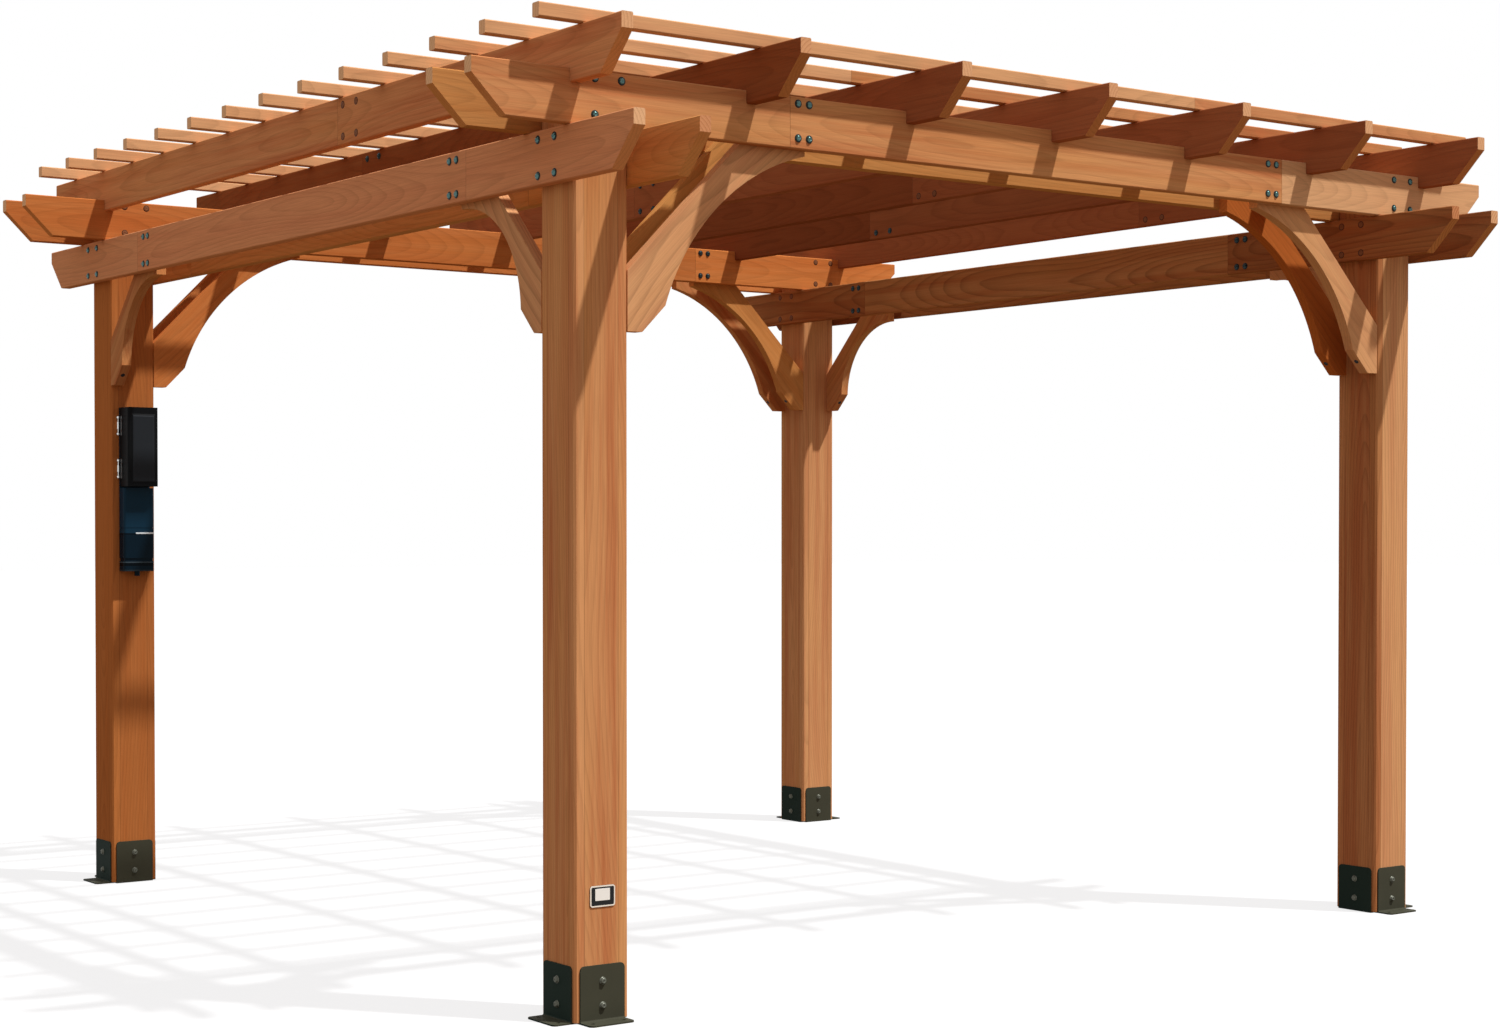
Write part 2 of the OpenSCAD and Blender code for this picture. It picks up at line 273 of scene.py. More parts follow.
def drawnOut(tree, x, y, z, along, across, detail, rough):
    # noise with its own scale along the grain and across it
    spot = point(tree, times(tree, x, along), times(tree, y, across), times(tree, z, across))
    return noise(tree, spot, 1.0, detail, rough)


def newGroup(name, inputs, outputs):
    g = bpy.data.node_groups.new(name, "ShaderNodeTree")
    kinds = {"v": "NodeSocketVector", "f": "NodeSocketFloat", "c": "NodeSocketColor"}
    for label, kind in inputs:
        g.interface.new_socket(name=label, in_out="INPUT", socket_type=kinds[kind])
    for label, kind in outputs:
        g.interface.new_socket(name=label, in_out="OUTPUT", socket_type=kinds[kind])
    return g, g.nodes.new("NodeGroupInput"), g.nodes.new("NodeGroupOutput")


# cedar: colours as they look in full light, red green blue from 0 to 1, linear
cedarSet = {
    "tan": (0.640, 0.300, 0.122, 1),
    "red": (0.520, 0.185, 0.070, 1),
    "honey": (0.650, 0.315, 0.110, 1),
    "dark": (0.220, 0.058, 0.020, 1),
    "pale": (0.690, 0.390, 0.195, 1),
    "rosy": (0.760, 0.255, 0.115, 1),
    "golden": (0.700, 0.342, 0.088, 1),
    "amber": (0.800, 0.225, 0.035, 1),
    "slope": (0.800, 0.335, 0.108, 1),
    "endGrain": (0.850, 0.535, 0.290, 1),
    "knot": (0.120, 0.042, 0.020, 1),
    # how far each sawn length and glued layer moves the pattern
    "layerStep": 1.63,
    "lengthSeed": 7.31,
    "layerSeed": 3.17,
    "seedShift": 2.37,
    "toneSeed": 5.13,
    "pieceTone": 0.5,
    # pith line: how fast and how far it wanders, in metres
    "wanderY": 0.55,
    "wanderZ": 0.45,
    "wanderApart": 31.7,
    "pithOff": 0.085,
    "pithSwayY": 0.20,
    "pithSwayZ": 0.16,
    "ringWidth": 0.0095,
    "ringDepth": 0.17,
    "lateSharp": 3.0,
    "lateEdge": (1.0, 0.90),
    "rippleDepth": 0.010,
    # noises: scale along and across the grain, detail, roughness
    "ripple": (3.0, 14.0, 2.0, 0.5),
    "streak": (1.1, 34.0, 3.0, 0.55),
    "broad": (0.8, 9.0, 2.0, 0.5),
    "fibre": (9.0, 420.0, 2.0, 0.6),
    "streakEdge": (0.34, 0.68),
    "broadEdge": (0.45, 0.70),
    "honeyShare": 0.55,
    "paleGain": -1.2,
    "fibreShade": (0.25, 0.75, 0.90, 1.05),
    # knots: cells along, across and up, then from which size to which, how many and how dark
    "knotCells": (1.15, 2.0, 5.0),
    "knotEdge": (0.055, 0.022),
    "knotChance": 0.80,
    "knotDepth": 0.8,
    "endRings": 0.22,
    "slopeEdge": (0.5, 0.9),
    "facingEdge": (0.45, 0.95),
    # hair lines at joints and glue lines, metres and shade
    "jointLine": (0.0005, 0.0016, 0.72, 1.0),
    "glueLine": (0.0003, 0.0016, 0.72, 1.0),
    "noJoint": 9.0,
    "gloss": (0.2, 0.8, 0.58, 0.72),
    "lateHeight": -0.35,
    "fibreHeight": 0.5,
    "bump": (0.35, 0.0012),
}


def cedarGroup(s):
    # grain along x: growth rings are the distance from a wandering pith line, streaks and fibres are
    # noise drawn out along x, and each sawn length or glued layer shifts the pattern by its own seed
    numbers = ("Seed", "Tone", "Hue", "Figure", "End", "Outward Joint", "Inward Joint", "Both Ends",
               "After Tone", "Before Tone", "Layer A", "Layer B", "Painted Side Shade", "Cut Tone", "Amber")
    inputs = [("Vector", "v")] + [(label, "f") for label in numbers]
    g, a, b = newGroup("cedarGrain", inputs, [("Color", "c"), ("Roughness", "f"), ("Height", "f")])
    i = a.outputs
    x, y, z = splitUp(g, i["Vector"])
    # which sawn length: the joint line stands further along on one half of the thickness than the other
    outward = under(g, y, 0.0)
    inward = minus(g, 1.0, outward)
    joint = plus(g, times(g, outward, i["Outward Joint"]), times(g, inward, i["Inward Joint"]))
    after = over(g, x, joint)
    before = times(g, under(g, x, times(g, joint, -1.0)), i["Both Ends"])
    layerY = plus(g, over(g, y, i["Layer A"]), over(g, y, i["Layer B"]))
    layerZ = plus(g, over(g, z, i["Layer A"]), over(g, z, i["Layer B"]))
    layer = plus(g, layerY, times(g, layerZ, s["layerStep"]))
    length = minus(g, after, before)
    own = plus(g, times(g, length, s["lengthSeed"]), times(g, layer, s["layerSeed"]))
    seed = plus(g, i["Seed"], own)
    px = plus(g, x, times(g, seed, s["seedShift"]))
    pieceTone = times(g, sway(g, times(g, seed, s["toneSeed"]), 0.0), s["pieceTone"])
    endTone = plus(g, times(g, after, i["After Tone"]), times(g, before, i["Before Tone"]))
    # painted shade: the board on one side of a post is darker above nought, lighter below it
    paintedSideShade = times(g, under(g, y, i["Layer A"]), i["Painted Side Shade"])
    tone = plus(g, plus(g, i["Tone"], endTone), plus(g, paintedSideShade, pieceTone))
    # rings
    wanderY = sway(g, times(g, px, s["wanderY"]), 1.0)
    wanderZ = sway(g, plus(g, times(g, px, s["wanderZ"]), s["wanderApart"]), 1.0)
    pithY = plus(g, plus(g, y, s["pithOff"]), times(g, wanderY, s["pithSwayY"]))
    pithZ = plus(g, z, times(g, wanderZ, s["pithSwayZ"]))
    ripple = drawnOut(g, px, y, z, *s["ripple"])
    radius = calc(g, "SQRT", plus(g, times(g, pithY, pithY), times(g, pithZ, pithZ)))
    radius = plus(g, radius, times(g, centred(g, ripple), s["rippleDepth"]))
    turn = calc(g, "FRACT", calc(g, "DIVIDE", radius, s["ringWidth"]))
    late = times(g, calc(g, "POWER", turn, s["lateSharp"]), soften(g, turn, *s["lateEdge"]))
    # streaks and fibres
    streak = drawnOut(g, px, y, z, *s["streak"])
    broad = drawnOut(g, px, y, z, *s["broad"])
    fibre = drawnOut(g, px, y, z, *s["fibre"])
    colour = blend(g, soften(g, streak, *s["streakEdge"]), s["tan"], s["red"])
    colour = blend(g, times(g, soften(g, broad, *s["broadEdge"]), s["honeyShare"]), colour, s["honey"])
    colour = blend(g, share(g, i["Hue"]), colour, s["rosy"])
    colour = blend(g, share(g, i["Hue"], -1.0), colour, s["golden"])
    colour = blend(g, i["Amber"], colour, s["amber"])
    colour = blend(g, share(g, tone), colour, s["dark"])
    colour = blend(g, share(g, tone, s["paleGain"]), colour, s["pale"])
    shade = minus(g, 1.0, times(g, late, times(g, i["Figure"], s["ringDepth"])))
    shade = times(g, shade, soften(g, fibre, *s["fibreShade"]))
    # small sparse knots, drawn out along the grain
    along, across, up = s["knotCells"]
    cell = g.nodes.new("ShaderNodeTexVoronoi")
    spot = point(g, times(g, px, along), times(g, y, across), times(g, plus(g, z, seed), up))
    link(g, spot, cell.inputs["Vector"])
    cell.inputs["Scale"].default_value = 1.0
    chance = g.nodes.new("ShaderNodeSeparateColor")
    link(g, cell.outputs["Color"], chance.inputs[0])
    chosen = over(g, chance.outputs[0], s["knotChance"])
    knot = times(g, soften(g, cell.outputs["Distance"], *s["knotEdge"]), chosen)
    colour = blend(g, times(g, knot, s["knotDepth"]), colour, s["knot"])
    # cut ends, pale with the rings showing through, and sloping cuts, which are warmer
    rings = calc(g, "ADD", times(g, late, s["endRings"]), i["Cut Tone"], clamp=True)
    end = blend(g, rings, s["endGrain"], s["red"])
    end = blend(g, soften(g, i["End"], *s["slopeEdge"]), s["slope"], end)
    colour = blend(g, i["End"], colour, end)
    # dark hair lines where lengths and layers meet
    away = sizeOf(g, minus(g, x, joint))
    oneEnd = times(g, minus(g, 1.0, i["Both Ends"]), s["noJoint"])
    awayBack = plus(g, sizeOf(g, plus(g, x, joint)), oneEnd)
    lines = soften(g, calc(g, "MINIMUM", away, awayBack), *s["jointLine"])
    glueY = nearer(g, y, i["Layer A"], i["Layer B"])
    glueZ = nearer(g, z, i["Layer A"], i["Layer B"])
    lines = times(g, lines, soften(g, calc(g, "MINIMUM", glueY, glueZ), *s["glueLine"]))
    link(g, shaded(g, colour, times(g, shade, lines)), b.inputs["Color"])
    link(g, soften(g, streak, *s["gloss"]), b.inputs["Roughness"])
    height = plus(g, times(g, late, s["lateHeight"]), times(g, fibre, s["fibreHeight"]))
    link(g, minus(g, height, minus(g, 1.0, lines)), b.inputs["Height"])
    return g


# slow change of shade and a fine grain, for painted and moulded surfaces
dustSet = {
    "slowScale": 9.0,
    "slowDetail": 3.0,
    "slowShare": 1.2,
    "fineDetail": 2.0,
    "fineRough": 0.6,
}


def dustGroup(s):
    inputs = [("Vector", "v"), ("Fine", "f"), ("Amount", "f")]
    g, a, b = newGroup("surfaceGrain", inputs, [("Shade", "f"), ("Height", "f")])
    slow = noise(g, a.outputs["Vector"], s["slowScale"], s["slowDetail"])
    v = g.nodes.new("ShaderNodeVectorMath")
    v.operation = "SCALE"
    link(g, a.outputs["Vector"], v.inputs[0])
    link(g, a.outputs["Fine"], v.inputs["Scale"])
    fine = noise(g, v.outputs[0], 1.0, s["fineDetail"], s["fineRough"])
    both = plus(g, times(g, centred(g, slow), s["slowShare"]), centred(g, fine))
    link(g, plus(g, 1.0, times(g, both, a.outputs["Amount"])), b.inputs["Shade"])
    link(g, fine, b.inputs["Height"])
    return g


cedarGrain = cedarGroup(cedarSet)
surfaceGrain = dustGroup(dustSet)


def startMaterial(name):
    mat = bpy.data.materials.new(name)
    mat.use_nodes = True
    tree = mat.node_tree
    tree.nodes.clear()
    shader = tree.nodes.new("ShaderNodeBsdfPrincipled")
    out = tree.nodes.new("ShaderNodeOutputMaterial")
    link(tree, shader.outputs[0], out.inputs["Surface"])
    return mat, tree, shader


def bumpFrom(tree, height, strength, distance, shader):
    bump = tree.nodes.new("ShaderNodeBump")
    bump.inputs["Strength"].default_value = strength
    bump.inputs["Distance"].default_value = distance
    link(tree, height, bump.inputs["Height"])
    link(tree, bump.outputs[0], shader.inputs["Normal"])


def layGrain(tree, where, middle, turn, along):
    # place of a point in the member's own axes, with its length along x, and how far the surface
    # faces along that length
    centre = tree.nodes.new("ShaderNodeVectorMath")
    centre.operation = "SUBTRACT"
    link(tree, where.outputs["Object"], centre.inputs[0])
    centre.inputs[1].default_value = middle
    lay = tree.nodes.new("ShaderNodeMapping")
    lay.inputs["Rotation"].default_value = [math.radians(v) for v in turn]
    link(tree, centre.outputs[0], lay.inputs["Vector"])
    facing = tree.nodes.new("ShaderNodeVectorMath")
    facing.operation = "DOT_PRODUCT"
    link(tree, where.outputs["Normal"], facing.inputs[0])
    facing.inputs[1].default_value = along
    return lay.outputs[0], sizeOf(tree, facing.outputs["Value"])


def cedar(name, lays, looks, brace):
    # lays: (middle in metres, turn in degrees that brings the length along x, length direction), one or
    # two of them; with two, the second holds for side braces, and the inner brace of a pair has its own
    # hue, tone and share of deep orange
    mat, tree, shader = startMaterial(name)
    where = tree.nodes.new("ShaderNodeTexCoord")
    grain = tree.nodes.new("ShaderNodeGroup")
    grain.node_tree = cedarGrain
    for label, v in looks.items():
        grain.inputs[label].default_value = v
    spot, facing = layGrain(tree, where, *lays[0])
    if brace:
        spot2, facing2 = layGrain(tree, where, *lays[1])
        x, y, z = splitUp(tree, where.outputs["Object"])
        second = over(tree, sizeOf(tree, x), brace["side"])
        paired = minus(tree, 1.0, second)
        inner = times(tree, under(tree, sizeOf(tree, y), brace["pair"]), paired)
        amber = plus(tree, times(tree, inner, brace["Amber"]), times(tree, paired, looks["Amber"]))
        link(tree, amber, grain.inputs["Amber"])
        for label in ("Hue", "Tone"):
            link(tree, plus(tree, times(tree, inner, brace[label]), looks[label]), grain.inputs[label])
        choose = tree.nodes.new("ShaderNodeMix")
        choose.data_type = "VECTOR"
        link(tree, second, choose.inputs[0])
        link(tree, spot, choose.inputs[4])
        link(tree, spot2, choose.inputs[5])
        spot = choose.outputs[1]
        facing = plus(tree, times(tree, facing, paired), times(tree, facing2, second))
    link(tree, spot, grain.inputs["Vector"])
    link(tree, soften(tree, facing, *cedarSet["facingEdge"]), grain.inputs["End"])
    link(tree, grain.outputs["Color"], shader.inputs["Base Color"])
    link(tree, grain.outputs["Roughness"], shader.inputs["Roughness"])
    shader.inputs["Specular IOR Level"].default_value = 0.0  # dry oiled wood, quite matt
    bumpFrom(tree, grain.outputs["Height"], *cedarSet["bump"], shader)
    return mat


def dress(name, mat):
    slots = nodes[name].data.materials
    slots.clear()
    slots.append(mat)


# timber: lap joints and layers as on the solids, metres from the middle of each member; a joint has its
# place on the outward half, its place on the inward half, and 1 where the other end has one too
timberSet = {
    "sideJoints": (1.070, 0.946, 1.0),
    "crossJoints": (0.912, 0.828, 1.0),
    "rafterJoints": (0.357, 0.503, 0.0),
    "noJoints": (99.0, 99.0, 0.0),
    "postLayers": (-0.049, 0.048),
    "noLayers": (-99.0, 99.0),
    # even scatter of seeds and tones from member to member
    "seedStep": 0.6180,
    "seedSpan": 19.0,
    "toneStep": 0.7549,
    "toneStart": 3,
    "toneSpread": 0.24,
    # in each table the first name that fits a member holds; tones are paler below nought, darker above it;
    # the dark tones of the rafters and right beams are partly wood colour and partly painted shade under the
    # roof
    "tonesAndShade": {
        "rafter_1": -0.12, "rafter_2": 0.76, "rafter": 0.73, "right_beam": 0.36, "back_beam": 0.36,
        "left_beam_inner": 0.08, "front_beam_inner": 0.10, "left_beam_outer": -0.16, "beam": 0.06,
        "slat_03": -0.20, "slat": -0.60,
        "knee_braces_front": -0.42, "knee_braces_back_left": 0.36, "knee": 0.20,
        "post_back_left": 0.56, "post_back_right": -0.20, "post_front_right": -0.25, "post": 0.0,
    },
    # above nought redder, below it more golden
    "hues": {
        "rafter_1": 0.2, "rafter_2": -0.2, "left_beam_inner": -0.3, "rafter": 0.6, "left_beam_outer": 0.6,
        "front_beam_inner": -0.55, "right_beam": -0.10, "post_back_left": -0.35, "": 0.0,
    },
    # share of deep orange
    "ambers": {
        "post_back_left": 0.50, "back_beam": 0.56,
        "knee_braces_back_left": 0.50, "knee_braces_back_right": 0.15, "": 0.0,
    },
    # strength of the growth rings
    "figures": {"right_beam": 2.3, "post_front_right": 1.6, "knee_braces_front_left": 1.8, "": 1.0},
    # shift of the two end lengths: first the right end of a front beam or slat, the left end of a back beam,
    # the front end of a left beam and the back end of a right beam, then the other end
    "endTones": {
        "front_beam_outer": (-0.85, 0.0), "front_beam_inner": (0.0, 0.26), "right_beam": (0.32, 0.24),
        "back_beam": (0.0, -0.12), "left_beam_outer": (0.0, -0.14), "slat_01": (0.24, 0.0),
        "slat_02": (0.80, 0.0), "": (0.0, 0.0),
    },
    # painted shade on the face board of a post's left side: darker above nought, lighter below it
    "paintedSideShades": {"post_front_right": 0.73, "post_back_left": -0.16, "": 0.0},
    # shift of the square cut ends, above nought darker
    "cutTones": {
        "rafter_2": 0.55, "rafter_4": 0.50, "rafter": 0.40, "left_beam_inner": 0.73, "left_beam_outer": 0.26,
        "right_beam_inner": 0.85, "right_beam": 0.40, "": 0.0,
    },
    # where a slat changes colour
    "slatJoints": {"slat_01": (0.480, 0.480, 0.0), "slat_02": (-0.567, -0.567, 0.0), "": (99.0, 99.0, 0.0)},
    "braceSlope": 45,  # degrees
    "braceLean": 0.7071,  # each part of a direction at that slope
    "braceParting": 1.45,  # side braces stand further out than this
    "pairParting": 1.458,  # the inner brace of a front or back pair stands nearer than this
    "innerHues": {"front_left": -0.65, "front_right": 0.25, "back_right": -0.50, "": -0.10},
    # the inner braces of a pair are set darker partly as painted shade
    "innerTones": {"back_left": 0.05, "front_right": 0.90, "back_right": 0.12, "": 0.54},
    "innerAmbers": {"front_right": 0.90, "": 0.0},
}


def pick(table, name):
    return next(v for k, v in table.items() if k in name)


def spread(i, step):
    return (i * step) % 1.0  # even scatter from 0 to 1


def layTimber(name, middle, s):
    # how the grain lies in a member, its joints and layers, and what sets the braces of a corner apart
    joints, layers, brace = s["noJoints"], s["noLayers"], None
    toRight = (0, 0, 90)  # length along y, outward side at low x
    toLeft = (0, 0, -90)  # length along y, outward side at high x
    kind = name.split("_")[0]
    if kind == "post":
        lays = [(middle, (90, 0, 90), (0, 0, 1))]
        layers = s["postLayers"]
    elif kind == "slat":
        lays = [(middle, (0, 0, 0), (1, 0, 0))]
        joints = pick(s["slatJoints"], name)
    elif kind == "knee":
        sideX = 1 if "left" in name else -1
        sideY = 1 if "front" in name else -1
        slope, lean = s["braceSlope"], s["braceLean"]
        across = (middle, (0, slope * sideX, 0), (lean * sideX, 0, lean))
        along = (middle, (-slope * sideY, 0, -90), (0, lean * sideY, lean))
        lays = [across, along]
        brace = {
            "side": s["braceParting"], "pair": s["pairParting"], "Hue": pick(s["innerHues"], name),
            "Tone": pick(s["innerTones"], name), "Amber": pick(s["innerAmbers"], name),
        }
    elif kind in ("front", "back"):
        lays = [(middle, (0, 0, 0 if kind == "front" else 180), (1, 0, 0))]
        joints = s["crossJoints"]
    elif kind in ("left", "right"):
        lays = [(middle, toRight if kind == "left" else toLeft, (0, 1, 0))]
        joints = s["sideJoints"]
    else:
        lays = [(middle, toRight if int(name.split("_")[1]) % 2 else toLeft, (0, 1, 0))]
        joints = s["rafterJoints"]
    return lays, joints, layers, brace


def dressTimber(s):
    kinds = ("post", "rafter", "slat", "knee")
    names = sorted(n for n in nodes if n.split("_")[0] in kinds or "beam" in n)
    names = [n for n in names if not n.startswith("post_shoe")]
    for i, name in enumerate(names):
        low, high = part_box(name)
        lays, joints, layers, brace = layTimber(name, tuple((low + high) / 2), s)
        endTones = pick(s["endTones"], name)
        scatter = spread(i + s["toneStart"], s["toneStep"]) - 0.5
        looks = {
            "Seed": 1.0 + s["seedSpan"] * spread(i + 1, s["seedStep"]),
            "Tone": pick(s["tonesAndShade"], name) + s["toneSpread"] * scatter,
            "Hue": pick(s["hues"], name), "Amber": pick(s["ambers"], name),
            "Figure": pick(s["figures"], name),
            "After Tone": endTones[0], "Before Tone": endTones[1],
            "Painted Side Shade": pick(s["paintedSideShades"], name), "Cut Tone": pick(s["cutTones"], name),
            "Outward Joint": joints[0], "Inward Joint": joints[1], "Both Ends": joints[2],
            "Layer A": layers[0], "Layer B": layers[1],
        }
        dress(name, cedar("cedar_" + name, lays, looks, brace))


dressTimber(timberSet)
print("timber dressed")

# metal and plastic finishes; a second colour given as (axis, side, place, colour) is unmetalled and lies on
# one side of a plane: it parts the cover's field from its rim and a hinge's knuckles from its leaf, and on
# the housing it is painted light, lighter above the seam; level bands (low, high, colour) are a dark seam,
# two painted highlights and a painted shadow in the groove; faces that look towards -x can take a painted
# shade colour
smallParts = {"fine": 2500.0, "amount": 0.25, "bump": 0.04}
mouldedParts = {"metal": 0.0, "fine": 1500.0, "bump": 0.05}
finishSet = {
    "shoePaintAndShade": {
        "colour": (0.050, 0.050, 0.033), "rough": 0.66, "shine": 0.05, "metal": 0.0,
        # painted shade: the faces that look towards -x take a much darker colour
        "fine": 900.0, "amount": 0.30, "bump": 0.12, "paintedShade": (0.015, 0.027, 0.021),
    },
    "shoeBolt": dict(smallParts, colour=(0.105, 0.110, 0.085), rough=0.42, shine=0.3, metal=0.4),
    "boltTeal": dict(smallParts, colour=(0.070, 0.142, 0.135), rough=0.30, shine=0.4, metal=0.8),
    "washerDark": dict(smallParts, colour=(0.012, 0.020, 0.020), rough=0.50, shine=0.2, metal=0.0),
    # painted shade: a darker copy of the teal bolt, for heads that sit in shade
    "boltDeep": dict(smallParts, colour=(0.020, 0.034, 0.036), rough=0.30, shine=0.4, metal=0.8),
    "plugBrown": dict(smallParts, colour=(0.210, 0.082, 0.035), rough=0.60, shine=0.1, metal=0.0),
    "plugRing": dict(smallParts, colour=(0.045, 0.016, 0.008), rough=0.60, shine=0.1, metal=0.0),
    # near black: a screw head with the shade of its pocket painted in
    "screwBlack": dict(smallParts, colour=(0.012, 0.010, 0.009), rough=0.55, shine=0.1, metal=0.0),
    "coverPlastic": {
        "colour": (0.0052, 0.0058, 0.0064), "rough": 0.50, "shine": 0.04, "metal": 0.0,
        "fine": 1800.0, "amount": 0.25, "bump": 0.10, "secondColourAndLight": (1, -1, 1.2995, (0.0195, 0.0230, 0.0270)),
    },
    "housingGlossAndPaintedLight": {
        "colour": (0.0028, 0.0110, 0.0200), "rough": 0.22, "shine": 0.04, "metal": 0.0,
        # painted light: the housing is lighter above its seam
        "fine": 300.0, "amount": 0.20, "bump": 0.02, "secondColourAndLight": (2, 1, 1.1765, (0.0062, 0.0280, 0.0520)),
        # a dark seam line, a painted highlight on the groove's upper edge, a painted shadow in the groove, a
        # painted highlight on the lip
        "bands": [
            (1.1715, 1.1765, (0.0010, 0.0040, 0.0080)), (1.0770, 1.0810, (0.0400, 0.0600, 0.0750)),
            (1.0665, 1.0770, (0.0010, 0.0030, 0.0050)), (1.0480, 1.0540, (0.0160, 0.0240, 0.0300)),
        ],
    },
    "hingeSteel": {
        "colour": (0.66, 0.66, 0.65), "rough": 0.30, "shine": 0.5, "metal": 1.0,
        "fine": 2200.0, "amount": 0.10, "bump": 0.05, "secondColourAndLight": (0, 1, -1.5084, (0.0040, 0.0045, 0.0050)),
    },
    "plateBlack": dict(mouldedParts, colour=(0.0060, 0.0060, 0.0064), rough=0.35, shine=0.2, amount=0.20),
    "panelWhite": dict(mouldedParts, colour=(0.82, 0.80, 0.74), rough=0.45, shine=0.3, amount=0.10),
    "plateCream": dict(mouldedParts, colour=(0.80, 0.74, 0.64), rough=0.45, shine=0.4, amount=0.10),
    "paleStrip": {
        "colour": (0.62, 0.68, 0.71), "rough": 0.25, "shine": 0.4, "metal": 0.0,
        "fine": 1200.0, "amount": 0.06, "bump": 0.02,
    },
    "socketGrey": dict(mouldedParts, colour=(0.040, 0.041, 0.043), rough=0.40, shine=0.3, amount=0.20),
}
reliefDepth = 0.0006  # metres, of the fine grain
paintedShadeEdge = (-0.5, -0.9)  # x of the facing where the painted shade colour begins and where it is full


def finish(name, s):
    # plain colour that changes slowly over the surface, with a fine grain in the gloss and relief
    mat, tree, shader = startMaterial(name)
    where = tree.nodes.new("ShaderNodeTexCoord")
    grain = tree.nodes.new("ShaderNodeGroup")
    grain.node_tree = surfaceGrain
    link(tree, where.outputs["Object"], grain.inputs["Vector"])
    grain.inputs["Fine"].default_value = s["fine"]
    grain.inputs["Amount"].default_value = s["amount"]
    shade = grain.outputs["Shade"]
    colour, metal = s["colour"] + (1,), s["metal"]
    # a second colour on one side of a plane; on the housing it is painted light
    if "secondColourAndLight" in s:
        axis, side, place, second = s["secondColourAndLight"]
        spot = splitUp(tree, where.outputs["Object"])
        beyond = over(tree, times(tree, spot[axis], side), side * place)
        colour = blend(tree, beyond, colour, second + (1,))
        metal = times(tree, minus(tree, 1.0, beyond), metal)
    # level bands: seam lines, painted highlights and a painted shadow
    for low, high, second in s.get("bands", []):
        x, y, z = splitUp(tree, where.outputs["Object"])
        within = times(tree, over(tree, z, low), under(tree, z, high))
        colour = blend(tree, within, colour, second + (1,))
    # painted shade: faces that look towards -x are darkened
    if "paintedShade" in s:
        turn = splitUp(tree, where.outputs["Normal"])
        colour = blend(tree, soften(tree, turn[0], *paintedShadeEdge), colour, s["paintedShade"] + (1,))
    link(tree, shaded(tree, colour, shade), shader.inputs["Base Color"])
    link(tree, share(tree, shade, s["rough"]), shader.inputs["Roughness"])
    feed(tree, metal, shader.inputs["Metallic"])
    shader.inputs["Specular IOR Level"].default_value = s["shine"]
    bumpFrom(tree, grain.outputs["Height"], s["bump"], reliefDepth, shader)
    return mat


finishes = {name: finish(name, s) for name, s in finishSet.items()}
for name in nodes:
    if name.startswith("post_shoe"):
        dress(name, finishes["shoePaintAndShade"])
dress("outlet_housing", finishes["housingGlossAndPaintedLight"])
dress("outlet_cover", finishes["coverPlastic"])
dress("outlet_hinges", finishes["hingeSteel"])
dress("cover_hinge_leaves", finishes["hingeSteel"])
print("metal and plastic dressed")

# new pieces
nearlyUpright = 0.9  # a facing with this much z or more takes x as its helper instead of z


def addPiece(name, points, faces, finishName, body, slot=None, smooth=True):
    mesh = bpy.data.meshes.new(name)
    mesh.from_pydata(points.tolist(), [], faces)
    mesh.polygons.foreach_set("use_smooth", np.full(len(mesh.polygons), smooth))
    mesh.materials.append(finishes[finishName])
    piece = bpy.data.objects.new(name, mesh)
    bpy.context.scene.collection.objects.link(piece)
    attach(piece, body)


def sleeveQuads(rows, count):
    # faces between rings of points that follow one another, the first ring uppermost
    i = np.arange(count)
    j = (i + 1) % count
    r = np.arange(rows - 1)[:, None] * count
    return np.stack([r + i, r + count + i, r + count + j, r + j], -1).reshape(-1, 4)


def turned(profile, count):
    # surface of revolution: point (r, h) of the profile and angle a give (r cos a, r sin a, h);
    # the profile runs from the top of the axis out and down to the bottom of the axis
    profile = np.asarray(profile, float)
    radii, heights = profile[1:-1, :1], profile[1:-1, 1:]
    a = np.arange(count) * 2 * np.pi / count
    grid = np.stack([radii * np.cos(a), radii * np.sin(a), np.repeat(heights, count, 1)], -1)
    points = np.vstack([grid.reshape(-1, 3), [[0, 0, profile[0, 1]], [0, 0, profile[-1, 1]]]])
    rows = len(radii)
    i = np.arange(count)
    j = (i + 1) % count
    top = np.stack([np.full(count, rows * count), i, j], -1)
    base = (rows - 1) * count
    bottom = np.stack([np.full(count, rows * count + 1), base + j, base + i], -1)
    return points, sleeveQuads(rows, count), np.vstack([top, bottom])


def setOut(shape, places, facing):
    # copies of a turned shape, its axis laid along each facing direction at each place
    points, quads, triangles = shape
    places, facing = np.asarray(places, float), np.asarray(facing, float)
    facing = facing / np.linalg.norm(facing, axis=1, keepdims=True)
    helper = np.where(np.abs(facing[:, 2:]) < nearlyUpright, [[0.0, 0.0, 1.0]], [[1.0, 0.0, 0.0]])
    u = np.cross(helper, facing)
    u /= np.linalg.norm(u, axis=1, keepdims=True)
    v = np.cross(facing, u)
    x, y, z = (points[None, :, k:k + 1] for k in range(3))
    out = places[:, None] + x * u[:, None] + y * v[:, None] + z * facing[:, None]
    step = (np.arange(len(places)) * len(points))[:, None, None]
    faces = (quads[None] + step).reshape(-1, 4).tolist()
    faces += (triangles[None] + step).reshape(-1, 3).tolist()
    return out.reshape(-1, 3), faces


